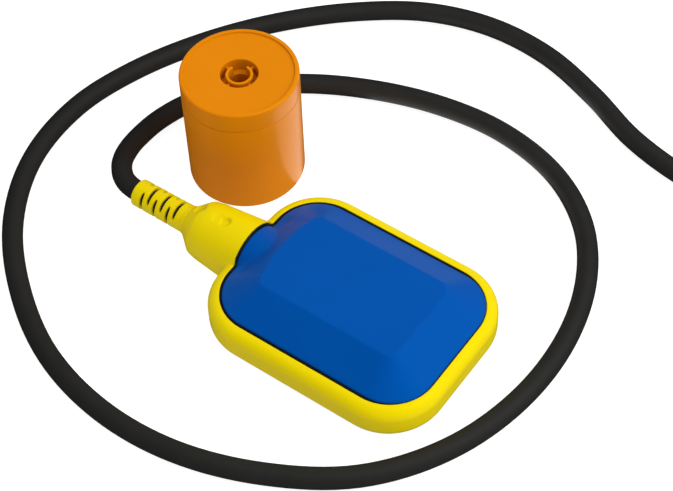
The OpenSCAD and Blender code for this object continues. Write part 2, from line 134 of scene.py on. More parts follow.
# ---- The cable, from the strain relief's tip round the float to the coil ----
CORD_ROUTE = [
    (-110, 0, 18), (-119.3, 2, 17.4), (-127.3, 9, 15.5), (-132.7, 19.6, 12.2),
    (-135.5, 32.5, 8.8), (-136.2, 46, 5.7), (-132.4, 60.5, 4.5), (-118.6, 80.5, 4.5),
    (-97.4, 98.4, 4.5), (-69, 113, 4.5),
    (-38, 122, 4.5), (-7, 123.8, 4.5), (24.2, 115.9, 4.5), (48, 99, 4.5), (63.7, 75.4, 4.5),
    (72.6, 44.1, 4.5), (72.2, 8.8, 4.5), (61.5, -25.6, 4.5), (40.4, -54.4, 4.5),
    (10, -74.1, 4.5), (-25, -85.8, 4.5), (-60, -87.4, 4.5), (-95, -79, 4.5), (-127, -60, 4.5),
    (-153.2, -34.2, 4.5), (-169.2, -3, 4.5), (-172.8, 30.8, 4.5), (-165.7, 61.5, 4.5),
    (-150.5, 93.5, 4.5), (-129.4, 123.3, 4.5), (-103.2, 149.2, 4.5), (-75.3, 167.5, 4.5),
    (-46, 175.6, 4.5), (-15.8, 174.4, 4.5), (14, 164.8, 4.5), (41.6, 152.4, 4.5),
    (70, 146, 4.5), (98, 145.5, 4.5), (128, 147, 5), (160, 148, 5.5),
]
TAIL_ROUTE = [
    (206, 146.5, 14), (226, 138.5, 12), (242, 125, 8.5), (252, 108, 5), (256, 90, 4.5),
    (256, 76, 4.5),
]
COIL_LAPS = 3
COIL_STOPS = 16
COIL_CLIMB = 0.25
COIL_DIP = 0.7


def smooth_step(x):
    x = min(max(x, 0), 1)
    return x * x * (3 - 2 * x)


def coil_point(lap):
    """Where the cable is after lap turns: three inwards, a climb, and three outwards on top."""
    centre = (COIL_LOW + COIL_HIGH) / 2
    outer = COIL_HIGH.x - centre.x - CABLE_R
    inner = outer - COIL_LAPS * CABLE_D
    low, high = COIL_LOW.z + CABLE_R, COIL_HIGH.z - CABLE_R
    over = lap - COIL_LAPS
    if over <= 0:
        radius, height = outer - CABLE_D * lap, low
    elif over < COIL_CLIMB:
        radius = inner - COIL_DIP * math.sin(math.pi * over / COIL_CLIMB)
        height = low + (high - low) * smooth_step(over / COIL_CLIMB)
    else:
        share = (over - COIL_CLIMB) / (COIL_LAPS - COIL_CLIMB)
        radius, height = inner + (outer - inner) * share, high
    angle = math.radians(90) - 2 * math.pi * lap
    return Vector((centre.x + radius * math.cos(angle), centre.y + radius * math.sin(angle), height))


CORE_NODES = ("core_black", "core_blue", "core_brown")
CORE_R = 1.3
CORE_PITCH_R = 1.9
CORE_REACH = 32
CORE_END_Z = 1.5
CORE_SPREAD = {"core_black": 0, "core_blue": -7, "core_brown": 7}


def make_cores():
    """The three insulated cores that fan out of the cable's end."""
    made = []
    end = Vector(TAIL_ROUTE[-1])
    for i, node in enumerate(CORE_NODES):
        angle = math.radians(90 + 120 * i)
        start = end + CORE_PITCH_R * Vector((math.cos(angle), 0, math.sin(angle)))
        over = end.x + CORE_SPREAD[node]
        far = Vector((over, end.y - CORE_REACH, CORE_END_Z))
        middle = (start + far) / 2
        points = [start, start - Vector((0, 6, 0.4)), middle, far + Vector((0, 7, 0)), far]
        wire = smooth_curve(node + "_wire", points, CORE_R, (0, -1, 0), (0, -1, 0), 6)
        finish_piece(wire, "cable", node, [node])
        made.append(wire)
    return made


def make_cable():
    route = [Vector(p) for p in CORD_ROUTE]
    coil = [coil_point(i / COIL_STOPS) for i in range(2 * COIL_LAPS * COIL_STOPS + 1)]
    tail = [Vector(p) for p in TAIL_ROUTE]
    points = route + coil + tail
    cable = smooth_curve("float_cable", points, CABLE_R, (-1, 0, 0), (0, -1, 0))
    finish_piece(cable, "cable", "black_rubber", ["cord_tube", "cord_coil", "cord_tail"])
    return cable


def finish_piece(obj, body, slot, replaced):
    """Gives a piece its material and its body, and hides the CAD nodes that it stands for."""
    obj.data.materials.append(MATERIALS[slot])
    if body:
        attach(obj, body)
    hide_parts(*replaced)
    return obj


# ---- Mesh helpers ----
def smooth_max(a, b, reach):
    near = max(reach - abs(a - b), 0) / reach
    return max(a, b) + near * near * reach / 4


def smooth_min(a, b, reach):
    return -smooth_max(-a, -b, reach)


def rounded(corners, closed=True, step=9):
    """A line through (x, y, radius) corners, each turned on an arc of that radius."""
    out = []
    count = len(corners)
    for i, (x, y, radius) in enumerate(corners):
        here = Vector((x, y))
        if radius <= 0 or (not closed and i in (0, count - 1)):
            out.append(here)
            continue
        before = Vector(corners[i - 1][:2]) - here
        after = Vector(corners[(i + 1) % count][:2]) - here
        turn = math.pi - before.angle(after)
        if turn < 0.001:
            out.append(here)
            continue
        reach = min(radius * math.tan(turn / 2), 0.49 * before.length, 0.49 * after.length)
        start = here + before.normalized() * reach
        middle = (before.normalized() + after.normalized()).normalized()
        centre = here + middle * (reach / math.cos((math.pi - turn) / 2))
        arm = start - centre
        way = 1 if before.x * after.y - before.y * after.x < 0 else -1
        parts = max(2, math.ceil(math.degrees(turn) / step))
        for k in range(parts + 1):
            a = way * turn * k / parts
            out.append(centre + Vector((
                arm.x * math.cos(a) - arm.y * math.sin(a),
                arm.x * math.sin(a) + arm.y * math.cos(a),
            )))
    return out


def divided(line, longest, closed=True):
    """The same line with points added, so that no stretch is longer than longest."""
    out = []
    count = len(line)
    for i in range(count if closed else count - 1):
        here, there = line[i], line[(i + 1) % count]
        parts = max(1, math.ceil((there - here).length / longest))
        out += [here.lerp(there, k / parts) for k in range(parts)]
    return out if closed else out + [line[-1]]


def grid_faces(rows, columns, rows_closed=False, columns_closed=True):
    faces = []
    for i in range(rows if rows_closed else rows - 1):
        for k in range(columns if columns_closed else columns - 1):
            i2, k2 = (i + 1) % rows, (k + 1) % columns
            faces.append((i * columns + k, i * columns + k2, i2 * columns + k2, i2 * columns + k))
    return faces


def clean(mesh, reach=0.002):
    """Joins doubled points and turns every face outwards."""
    work = bmesh.new()
    work.from_mesh(mesh)
    bmesh.ops.remove_doubles(work, verts=work.verts, dist=reach * MM)
    bmesh.ops.dissolve_degenerate(work, edges=work.edges, dist=reach * MM / 4)
    bmesh.ops.recalc_face_normals(work, faces=work.faces)
    work.to_mesh(mesh)
    work.free()


def make_mesh(name, points, faces, reach=0.002):
    mesh = bpy.data.meshes.new(name)
    mesh.from_pydata([Vector(p) * MM for p in points], [], faces)
    clean(mesh, reach)
    return mesh


def turned(name, section, place, sides=96, closed=True):
    """A section of (radius, along) turned round an axis. place(radius, angle, along) is a point."""
    points = []
    for p in section:
        points += [place(p.x, 2 * math.pi * k / sides, p.y) for k in range(sides)]
    return make_mesh(name, points, grid_faces(len(section), sides, rows_closed=closed))


def round_z(centre):
    return lambda r, a, z: (centre.x + r * math.cos(a), centre.y + r * math.sin(a), z)


def round_x(r, a, x):
    return (x, r * math.cos(a), MID_Z + r * math.sin(a))


def combined(mesh, other, operation):
    """The union or difference of two closed meshes."""
    objs = [bpy.data.objects.new("work", m) for m in (mesh, other)]
    for obj in objs:
        bpy.context.scene.collection.objects.link(obj)
    step = objs[0].modifiers.new("work", "BOOLEAN")
    step.object = objs[1]
    step.operation = operation
    step.solver = "EXACT"
    bpy.context.view_layer.update()
    graph = bpy.context.evaluated_depsgraph_get()
    result = bpy.data.meshes.new_from_object(objs[0].evaluated_get(graph))
    for obj in objs:
        bpy.data.objects.remove(obj)
    clean(result)
    return result


def add_piece(name, mesh, body, slot, replaced, sharp=32):
    mesh.name = name
    mesh.shade_smooth()
    mesh.set_sharp_from_angle(angle=math.radians(sharp))
    obj = bpy.data.objects.new(name, mesh)
    bpy.context.scene.collection.objects.link(obj)
    return finish_piece(obj, body, slot, replaced)


# ---- Outlines of the float ----
FRAME_R = 24.4
FRAME_EDGE_R = 5
FRAME_AT = -0.5
FRAME_X = FRAME_HIGH.x - FRAME_AT - FRAME_R
FRAME_Y = FRAME_HIGH.y - FRAME_R
SEAT_R = 19.9
SEAT_X = 28.9
SEAT_Y = 16.2
CORNER_X = 30.0
CORNER_Y = 17.0
RIM_HALF_H = 8
LEDGE_R = 15.5
LEDGE_Z = 5.8
CORNER_STEPS = 22
DENSE_STEP = 0.5
ARCH_HALF = 12.2
ARCH_REACH = 0.65


def outline_stops():
    """Stops round the outline, each (x share, y share, direction) of its corner centres."""
    stops = []

    def side(shares, fixed, angle, along_x):
        for s in shares:
            stops.append((s, fixed, angle) if along_x else (fixed, s, angle))

    def corner(x, y, start):
        for k in range(CORNER_STEPS + 1):
            stops.append((x, y, start + math.pi / 2 * k / CORNER_STEPS))

    half = math.pi / 2
    dense = int(CORNER_Y / DENSE_STEP)
    fine = [1 - k / dense for k in range(1, 2 * dense)]
    side([-1 + k / 7 for k in range(1, 14)], 1, 0, False)
    corner(1, 1, 0)
    side([1 - k / 12 for k in range(1, 24)], 1, half, True)
    corner(-1, 1, half)
    side(fine, -1, 2 * half, False)
    corner(-1, -1, 2 * half)
    side([-1 + k / 12 for k in range(1, 24)], -1, 3 * half, True)
    corner(1, -1, 3 * half)
    return stops


STOPS = outline_stops()


def outline_point(stop, radius, centre_x=CORNER_X, centre_y=CORNER_Y, at=0):
    x_share, y_share, angle = stop
    x = at + centre_x * x_share + radius * math.cos(angle)
    return x, centre_y * y_share + radius * math.sin(angle)


def arch_share(y):
    """1 on the arch over the neck and 0 beside it."""
    return smooth_step((ARCH_HALF + 1.5 - abs(y)) / 3)


def seat_point(stop, out=0):
    """A point of the edge of a cover's seat, which steps back over the neck."""
    x, y = outline_point(stop, SEAT_R + out, SEAT_X, SEAT_Y, FRAME_AT)
    if stop[0] == -1 and abs(stop[1]) < 1:
        x -= ARCH_REACH * arch_share(y)
    return x, y


# ---- Frame ring and neck ----
def ring_mesh():
    seat = rounded([
        (0, LEDGE_Z, 0), (0, RIM_HALF_H - 0.07, 0.3), (0.45, RIM_HALF_H - 0.07, 0),
    ], closed=False)
    rows = [("ledge", 0, 0), ("ledge", 0, 2.9), ("ledge", 0, LEDGE_Z), ("ledge", 1.8, LEDGE_Z)]
    rows += [("seat", p.x, p.y) for p in divided(seat, 0.9, closed=False)]
    for degrees in range(74, 0, -6):
        a = math.radians(degrees)
        out, up = FRAME_EDGE_R * math.cos(a), FRAME_EDGE_R * math.sin(a)
        rows.append(("frame", FRAME_R - FRAME_EDGE_R + out, RIM_HALF_H - FRAME_EDGE_R + up))
    rows += [("frame", FRAME_R, (RIM_HALF_H - FRAME_EDGE_R) * k / 4) for k in (4, 3, 2, 1, 0)]
    rows += [(line, r, -z) for line, r, z in reversed(rows) if z > 0]
    points = []
    for line, r, z in rows:
        for stop in STOPS:
            if line == "ledge":
                x, y = outline_point(stop, LEDGE_R + r)
            elif line == "seat":
                x, y = seat_point(stop, r)
            else:
                x, y = outline_point(stop, r, FRAME_X, FRAME_Y, FRAME_AT)
            points.append((x, y, MID_Z + z))
    return make_mesh("ring", points, grid_faces(len(rows), len(STOPS), rows_closed=True))


def seat_cutter(name, low, high):
    """The room inside a cover's seat, which trims the neck."""
    points = []
    for z in (low, high):
        points += [(*seat_point(stop, 0.01), z) for stop in STOPS]
    count = len(STOPS)
    faces = grid_faces(2, count)
    faces += [tuple(range(count)), tuple(range(count, 2 * count))]
    return make_mesh(name, points, faces)


NECK_START = -49.5
NECK_INSIDE = -46
NECK_R = 15.3
NECK_WAIST = -72
NECK_MID_R = 13.0
RELIEF_L = 26
NECK_END = RELIEF_LOW.x + RELIEF_L
SPIGOT_END = -78
DENT_WALL = 0.35
JOINT_END = -60
JOINT_GAP = 0.6
JOINT_FADE = 0.8

# Dents on the neck: (place along x, place across, radius, depth)
NECK_DENTS = [(-66.6, -0.5, 2.7, 0.35), (-62.9, -0.4, 2.6, 1.3), (-77.2, 1.2, 3.2, 1.3)]


def neck_radius(x):
    """The neck's radius at x, on its long cone."""
    return NECK_R + (NECK_MID_R - NECK_R) * (x - NECK_START) / (NECK_WAIST - NECK_START)


def neck_line():
    corners = [
        (0, NECK_INSIDE, 0), (neck_radius(NECK_INSIDE), NECK_INSIDE, 0), (NECK_MID_R, NECK_WAIST, 10),
        (12.2, -75.6, 4), (8.7, -79.7, 3), (6.75, -82.2, 3), (6.3, NECK_END, 0.25), (0, NECK_END, 0),
    ]
    return divided(rounded(corners, closed=False, step=6), 0.55, closed=False)


def neck_point(r, a, x):
    for at, across, reach, depth in NECK_DENTS:
        if r < 5 or math.sin(a) < 0:
            continue
        apart = math.hypot(x - at, r * math.cos(a) - across)
        r -= depth * smooth_step((reach - apart) / (DENT_WALL * reach))
    return round_x(r, a, x)


def soften_neck_joint(mesh, reach=1.8):
    """Rounds the inner corner where the neck meets the ring."""
    work = bmesh.new()
    work.from_mesh(mesh)
    work.normal_update()
    moves = []
    for v in work.verts:
        x, y, z = v.co / MM
        if x > NECK_START - JOINT_GAP or x < JOINT_END:
            continue
        plan = math.hypot(max(abs(x - FRAME_AT) - FRAME_X, 0), max(abs(y) - FRAME_Y, 0))
        side_z = RIM_HALF_H - FRAME_EDGE_R
        out = math.hypot(max(plan - FRAME_R + FRAME_EDGE_R, 0), max(abs(z - MID_Z) - side_z, 0))
        to_ring = out - FRAME_EDGE_R
        to_neck = math.hypot(y, z - MID_Z) - neck_radius(x)
        near = max(reach - abs(to_ring - to_neck), 0) / reach
        fade = smooth_step((NECK_START - JOINT_GAP - x) / JOINT_FADE)
        if near > 0 and max(to_ring, to_neck) < reach:
            moves.append((v, v.normal * near * near * reach / 4 * fade * MM))
    for v, move in moves:
        v.co += move
    work.to_mesh(mesh)
    work.free()


def make_frame_ring():
    ring = ring_mesh()
    neck = turned("neck", neck_line(), neck_point, 144, closed=False)
    whole = combined(ring, neck, "UNION")
    seat_z = LEDGE_Z + 0.01
    for low, high in ((MID_Z + seat_z, 40), (-10, MID_Z - seat_z)):
        whole = combined(whole, seat_cutter("seat", low, high), "DIFFERENCE")
    bore = rounded([
        (0, -CORNER_X - 8, 0), (5.7, -CORNER_X - 8, 0), (5.7, NECK_WAIST, 0), (4.6, NECK_WAIST, 0),
        (4.6, SPIGOT_END, 0), (5.65, SPIGOT_END, 0), (5.65, NECK_END - 2, 0), (0, NECK_END - 2, 0),
    ], closed=False)
    whole = combined(whole, turned("bore", bore, round_x, 48, closed=False), "DIFFERENCE")
    soften_neck_joint(whole)
    add_piece("yellow_frame", whole, "float", "yellow_plastic", ["rim_frame"], 40)


# ---- Covers ----
COVER_R = 17.85
COVER_EDGE_Z = 26.2
COVER_LIP = 0.3
PANEL_X = 28.0
PANEL_Y = 16.0
PANEL_R = 4.5
PANEL_Z = COVER_HIGH.z
SLOPE_RUN = CORNER_X + COVER_R - PANEL_X - PANEL_R
TAB_REACH = 1.25
BUMP_R = 14.0
COVER_WALL = 2.5
SCOOP_DEPTH = 0.7
SCOOP_X, SCOOP_Y = -43.8, 14.5
SCOOP_REACH_X, SCOOP_REACH_Y = 2.6, 3.4
PANEL_RINGS = (0.15, 0.35, 0.7, 1.2, 2.2, 3.3, 4.5, 8, 12, 16, PANEL_Y + PANEL_R)
SLOPE_RINGS = 28
SLOPE_BULGE = 2.2


def cover_place(stop, share, inset, edge_r):
    """Where a stop's line is: share runs from the edge, 0, to the panel, 1, and inset into it."""
    x_share, y_share, angle = stop
    edge_x, edge_y = outline_point(stop, edge_r)
    if x_share == -1 and abs(y_share) < 1:
        edge_x -= TAB_REACH * arch_share(edge_y)
    r = max(PANEL_R - inset, 0)
    shrink = max(inset - PANEL_R, 0)
    panel_x = (PANEL_X - shrink) * x_share + r * math.cos(angle)
    panel_y = (PANEL_Y - shrink) * y_share + r * math.sin(angle)
    return edge_x + (panel_x - edge_x) * share, edge_y + (panel_y - edge_y) * share


def cover_height(stop, x, y, share, inset):
    """The cover's outer surface: slope, panel, the bump over the neck and the scoops beside it."""
    rise = share + inset / SLOPE_RUN
    if stop[0] == -1 and abs(stop[1]) < 1:
        bulge = max(1 - (y / PANEL_Y) ** 2, 0)
        rise = (x + CORNER_X + COVER_R) / (SLOPE_RUN - SLOPE_BULGE * bulge)
    slope = COVER_EDGE_Z + (PANEL_Z - COVER_EDGE_Z) * rise
    height = smooth_min(slope, PANEL_Z, 0.3)
    if x > -PANEL_X:
        return height
    scoop = ((abs(y) - SCOOP_Y) / SCOOP_REACH_Y) ** 2 + ((x - SCOOP_X) / SCOOP_REACH_X) ** 2
    height -= SCOOP_DEPTH * math.exp(-scoop)
    if abs(y) < BUMP_R:
        height = smooth_max(height, MID_Z + math.sqrt(BUMP_R ** 2 - y * y), 0.8)
    return height


def cover_mesh(name):
    """A cover as a closed shell, from its inner middle round the edge to its outer middle."""
    inner_r = COVER_R - COVER_WALL
    rows = []
    for share, inset in ((1, PANEL_Y + PANEL_R), (1, PANEL_R), (1, 0), (0.5, 0), (0, 0)):
        row = []
        for stop in STOPS:
            x, y = cover_place(stop, share, inset, inner_r)
            row.append((x, y, COVER_EDGE_Z - 1.7 + (PANEL_Z - COVER_EDGE_Z - 0.8) * share))
        rows.append(row)
    for inset, level in ((0.35, COVER_EDGE_Z - 2), (0, COVER_EDGE_Z - 1.8)):
        rows.append([(*cover_place(stop, 0, 0, COVER_R - inset), level) for stop in STOPS])
    for degrees in range(0, 90, 22):
        a = math.radians(degrees)
        row = []
        for stop in STOPS:
            x, y = cover_place(stop, 0, 0, COVER_R)
            top = cover_height(stop, x, y, 0, 0) - COVER_LIP * (1 - math.sin(a))
            back = COVER_R - COVER_LIP * (1 - math.cos(a))
            row.append((*cover_place(stop, 0, 0, back), top))
        rows.append(row)
    lines = [(0.02 + 0.98 * (k / SLOPE_RINGS), 0) for k in range(SLOPE_RINGS + 1)]
    lines += [(1, inset) for inset in PANEL_RINGS]
    for share, inset in lines:
        row = []
        for stop in STOPS:
            x, y = cover_place(stop, share, inset, COVER_R)
            row.append((x, y, cover_height(stop, x, y, share, inset)))
        rows.append(row)
    points = [p for row in rows for p in row]
    return make_mesh(name, points, grid_faces(len(rows), len(STOPS)), reach=0.03)


def turned_over(mesh):
    """A copy of a mesh, mirrored through the float's middle height."""
    lower = mesh.copy()
    lower.transform(Matrix.Translation((0, 0, 2 * MID_Z * MM)) @ Matrix.Scale(-1, 4, UP))
    clean(lower)
    return lower


def make_covers():
    upper = cover_mesh("upper")
    lower = turned_over(upper)
    add_piece("upper_cover", upper, "float", "blue_plastic", ["top_cover"], 50)
    add_piece("lower_cover", lower, "float", "blue_plastic", ["bottom_cover"], 50)


# ---- Seals: the dark line round each cover ----
SEAL_TOP = 25.75
SEAL_ARCH_R = (14.1, 14.5, 14.9)
SEAL_DEEP = 1.6


def seal_mesh(name):
    """The strip between a cover's edge and its seat, which rises over the neck as a sloping step."""
    points = []
    for share, deep in ((0, False), (0.5, False), (1, False), (1, True), (0, True)):
        for stop in STOPS:
            inner_x, inner_y = cover_place(stop, 0, 0, COVER_R + 0.02)
            outer_x, outer_y = seat_point(stop, -0.02)
            x = inner_x + (outer_x - inner_x) * share
            y = inner_y + (outer_y - inner_y) * share
            top = SEAL_TOP + (0.08 if share == 0.5 else 0)
            radius = SEAL_ARCH_R[int(2 * share)]
            if stop[0] == -1 and abs(y) < radius and abs(stop[1]) < 1:
                arch = MID_Z + math.sqrt(radius ** 2 - y * y)
                top = smooth_max(top, arch * arch_share(y) + top * (1 - arch_share(y)), 0.2)
            points.append((x, y, SEAL_TOP - SEAL_DEEP if deep else top))
    return make_mesh(name, points, grid_faces(5, len(STOPS), rows_closed=True))


def make_seals():
    upper = seal_mesh("upper_seal_line")
    lower = turned_over(upper)
    add_piece("upper_seal_line", upper, "float", "seal_rubber", ["upper_seal"])
    add_piece("lower_seal_line", lower, "float", "seal_rubber", ["lower_seal"])


# ---- Strain relief and the cable inside it ----
RELIEF_R = 6.2
RELIEF_TIP_R = 6.0
RELIEF_BORE = 4.62
SPIGOT_R = 5.6
SLOT_RINGS = 6
SLOT_W = 1.7
SLOT_PITCH = 3.4
SLOT_FIRST = NECK_END - 2.9
RELIEF_SIDES = 96
SLOT_HALF = 18
TIP_L = 1.3
CABLE_ENTRY_END = -54


def relief_radius(x):
    share = (NECK_END - x) / (NECK_END - RELIEF_LOW.x)
    return RELIEF_R + (RELIEF_TIP_R - RELIEF_R) * share


def slot_at(i, k):
    """How far column k is from the middle of ring i's nearest slot, in columns."""
    middle = RELIEF_SIDES // 4 if i % 2 == 0 else 0
    half_turn = RELIEF_SIDES // 2
    apart = (k - middle) % half_turn
    return min(apart, half_turn - apart)


def slot_half_width(apart):
    """A slot's half width, which draws in towards its ends."""
    share = min(apart / SLOT_HALF, 1)
    return SLOT_W / 2 * max(math.sqrt(1 - share ** 5), 0.35)


def relief_rows():
    """Rows along the relief, each (x of column k) as a function, and the slot that starts there."""
    rows = [(lambda k, x=x: x, None) for x in (NECK_END - 0.02, NECK_END - 0.6, NECK_END - 1.6)]
    for i in range(SLOT_RINGS):
        middle = SLOT_FIRST - SLOT_W / 2 - i * SLOT_PITCH
        rows.append((lambda k, i=i, m=middle: m + slot_half_width(slot_at(i, k)), i))
        rows.append((lambda k, i=i, m=middle: m - slot_half_width(slot_at(i, k)), None))
        rib = middle - SLOT_PITCH / 2
        if i < SLOT_RINGS - 1:
            rows.append((lambda k, x=rib: x, None))
    tip = RELIEF_LOW.x
    for x in (tip + 3, tip + 2.2, tip + TIP_L):
        rows.append((lambda k, x=x: x, None))
    return rows


def make_relief():
    rows = relief_rows()
    columns = RELIEF_SIDES
    outer, inner = [], []
    for x_of, _ in rows:
        for k in range(columns):
            a = 2 * math.pi * k / columns
            x = x_of(k)
            outer.append(round_x(relief_radius(x), a, x))
            inner.append(round_x(RELIEF_BORE, a, x))
    points = outer + inner
    shift = len(outer)
    faces = []
    for i in range(len(rows) - 1):
        ring = rows[i][1]
        for k in range(columns):
            k2 = (k + 1) % columns
            quad = (i * columns + k, i * columns + k2, (i + 1) * columns + k2, (i + 1) * columns + k)
            open_here = ring is not None and max(slot_at(ring, k), slot_at(ring, k2)) <= SLOT_HALF
            if not open_here:
                faces.append(quad)
                faces.append(tuple(reversed([p + shift for p in quad])))
                continue
            for a, b, beside in ((0, 1, None), (2, 3, None), (1, 2, k2 + 1), (3, 0, k - 1)):
                edge_k = k2 if beside == k2 + 1 else k
                if beside is None or slot_at(ring, beside % columns) > SLOT_HALF:
                    if beside is None or slot_at(ring, edge_k) == SLOT_HALF:
                        p, q = quad[a], quad[b]
                        faces.append((p, q, q + shift, p + shift))
    # The rounded tip, and the spigot that sits in the neck.
    tip = RELIEF_LOW.x
    tip_start = tip + TIP_L
    tip_line = rounded([
        (relief_radius(tip_start), tip_start, 0), (RELIEF_TIP_R, tip, 1.1),
        (RELIEF_BORE, tip, 0.2), (RELIEF_BORE, tip_start, 0),
    ], closed=False, step=22)
    spigot_line = [
        Vector((RELIEF_BORE, NECK_END - 0.02)), Vector((RELIEF_BORE, SPIGOT_END)),
        Vector((SPIGOT_R, SPIGOT_END)),
        Vector((SPIGOT_R, NECK_END)), Vector((relief_radius(NECK_END) - 0.15, NECK_END)),
        Vector((relief_radius(NECK_END - 0.02), NECK_END - 0.02)),
    ]
    for line in (tip_line, spigot_line):
        base = len(points)
        for p in line:
            points += [round_x(p.x, 2 * math.pi * k / columns, p.y) for k in range(columns)]
        faces += [tuple(base + n for n in quad) for quad in grid_faces(len(line), columns)]
    mesh = make_mesh("relief", points, faces, reach=0.01)
    bevel_edges(mesh, 0.18, 2, 50, lambda p: p.x < NECK_END - 2)
    relief = add_piece("slotted_relief", mesh, None, "yellow_plastic", ["strain_relief"], 50)
    bend(relief)


def bevel_edges(mesh, width, segments, degrees, inside):
    """Rounds the edges that turn more than degrees, where inside(middle) says so."""
    work = bmesh.new()
    work.from_mesh(mesh)
    work.normal_update()
    chosen = []
    for e in work.edges:
        if len(e.link_faces) != 2:
            continue
        middle = (e.verts[0].co + e.verts[1].co) / 2 / MM
        if e.calc_face_angle(0) > math.radians(degrees) and inside(middle):
            chosen.append(e)
    bmesh.ops.bevel(
        work, geom=chosen, offset=width * MM, segments=segments, profile=0.5,
        affect="EDGES", clamp_overlap=True,
    )
    bmesh.ops.recalc_face_normals(work, faces=work.faces)
    work.to_mesh(mesh)
    work.free()


def bend(piece):
    """Bakes the piece's placement into its mesh; the relief and the cable in it stay straight."""
    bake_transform(piece)


def make_cable_entry():
    line = [Vector((0, RELIEF_LOW.x))]
    side = [Vector((CABLE_R, RELIEF_LOW.x)), Vector((CABLE_R, CABLE_ENTRY_END))]
    line += divided(side, 1, closed=False)
    line.append(Vector((0, CABLE_ENTRY_END)))
    mesh = turned("entry", line, round_x, 32, closed=False)
    entry = add_piece("cable_in_relief", mesh, None, "black_rubber", ["cable_entry"])
    bend(entry)


# ---- Counterweight ----
WEIGHT_AT = (SHELL_LOW + SHELL_HIGH) / 2
WEIGHT_R = SHELL_HIGH.x - WEIGHT_AT.x
WEIGHT_TOP = LID_HIGH.z
WEIGHT_WALL = 2.2
SEAM_Z = 48.4
BORE_R = 5.2
TUBE_R = 7
RECESS_R = 8
LID_FACE = WEIGHT_TOP - 0.8
RECESS_FLOOR = 51.4
RING_LOW, RING_HIGH = 52.6, 56.6
RING_IN_R, RING_OUT_R = 4.55, 5.8
RING_FROM, RING_SPAN, RING_FIRST_TAB = 161.5, 287, 170
RING_STEPS = 60
TAB_UP = 1.2
TAB_OUTLINE = ((-0.7, 0), (0.7, 0), (0.7, 1.1), (0.4, 1.4), (-0.4, 1.4), (-0.7, 1.1))


def make_weight():
    inside = WEIGHT_R - WEIGHT_WALL
    shell = rounded([
        (BORE_R, 0, 0.5), (WEIGHT_R, 0, 1.4), (WEIGHT_R, SEAM_Z - 0.08, 0.35),
        (inside, SEAM_Z - 0.08, 0.2), (inside, 2.5, 1), (TUBE_R, 2.5, 0.5),
        (TUBE_R, SEAM_Z - 1, 0.3), (RECESS_R - 0.1, SEAM_Z, 0.3), (RECESS_R - 0.1, RECESS_FLOOR, 0.2),
        (BORE_R, RECESS_FLOOR, 0.3),
    ])
    skirt = inside - 0.1
    lid = rounded([
        (RECESS_R, SEAM_Z + 2, 0.2), (RECESS_R + 1.8, SEAM_Z + 2, 0.2),
        (RECESS_R + 1.8, LID_FACE - 2.4, 0.3), (skirt - 1.6, LID_FACE - 2.4, 0.5),
        (skirt - 1.6, 28.5, 0.2), (skirt, 28.5, 0.2), (skirt, SEAM_Z, 0),
        (WEIGHT_R, SEAM_Z, 0.4), (WEIGHT_R, WEIGHT_TOP, 1.1), (WEIGHT_R - 1.9, WEIGHT_TOP, 0.3),
        (WEIGHT_R - 2.2, LID_FACE, 0.25), (RECESS_R, LID_FACE, 0.4),
    ])
    place = round_z(WEIGHT_AT)
    add_piece("weight_body", turned("shell", shell, place, 128), "counterweight",
              "orange_plastic", ["weight_shell"])
    add_piece("weight_top", turned("lid", lid, place, 128), "counterweight",
              "orange_plastic", ["weight_lid"])


def make_retaining_ring():
    """A split ring on four tabs, to be broken out and clipped round the cable."""
    section = rounded([
        (RING_IN_R, RING_LOW, 0.15), (RING_OUT_R, RING_LOW, 0.15),
        (RING_OUT_R, RING_HIGH, 0.3), (RING_IN_R, RING_HIGH, 0.3),
    ])
    place = round_z(WEIGHT_AT)
    points = []
    for k in range(RING_STEPS + 1):
        angle = math.radians(RING_FROM + RING_SPAN * k / RING_STEPS)
        points += [place(p.x, angle, p.y) for p in section]
    count = len(section)
    faces = grid_faces(RING_STEPS + 1, count)
    faces += [tuple(range(count)), tuple(range(count * RING_STEPS, count * (RING_STEPS + 1)))]
    mesh = make_mesh("ring", points, faces)
    for quarter in range(4):
        turn = Matrix.Rotation(math.radians(RING_FIRST_TAB + 90 * quarter), 3, "Z")
        points = []
        for along in (RING_OUT_R - 0.4, RECESS_R):
            for y, z in TAB_OUTLINE:
                p = turn @ Vector((along, y, 0))
                points.append((WEIGHT_AT.x + p.x, WEIGHT_AT.y + p.y, RING_LOW + TAB_UP + z))
        faces = grid_faces(2, 6) + [tuple(range(6)), tuple(range(6, 12))]
        mesh = combined(mesh, make_mesh("tab", points, faces), "UNION")
    add_piece("break_out_ring", mesh, "counterweight", "orange_plastic", ["retaining_ring"])


# ---- Coil ties and ferrules ----
TIE_T = 1.0
TIE_HALF_W = 6
TIE_R = 4
FLAP_L = 20
FLAP_STOPS = 11


def tie_point(centre, turn, p, across):
    """A point of a tie: p is (out from the coil's middle, height)."""
    way = Matrix.Rotation(turn, 3, "Z")
    flat = way @ Vector((p.x, across, 0))
    return (centre.x + flat.x, centre.y + flat.y, p.y)


def make_tie(node, turn):
    centre = (COIL_LOW + COIL_HIGH) / 2
    outer = COIL_HIGH.x - centre.x + 0.1
    inner = outer - COIL_LAPS * CABLE_D - CABLE_D - 0.2
    low, high = TIE_T, COIL_HIGH.z
    inside = rounded(tie_corners(inner, outer, low, high, 0), step=12)
    outside = rounded(tie_corners(inner, outer, low, high, TIE_T), step=12)
    half = TIE_HALF_W
    points = []
    for line, across in ((inside, -half), (inside, half), (outside, half - 0.3), (outside, -half + 0.3)):
        for p in line:
            points.append(tie_point(centre, turn, p, across))
    mesh = make_mesh(node, points, grid_faces(4, len(inside), rows_closed=True))
    strap = add_piece(node + "_strap", mesh, "cable", "tie_strap", [node], 45)
    flap = flap_mesh(node + "_flap", centre, turn, (inner + outer) / 2 - 9, high)
    return [strap, add_piece(node + "_flap", flap, "cable", "tie_strap", [], 45)]


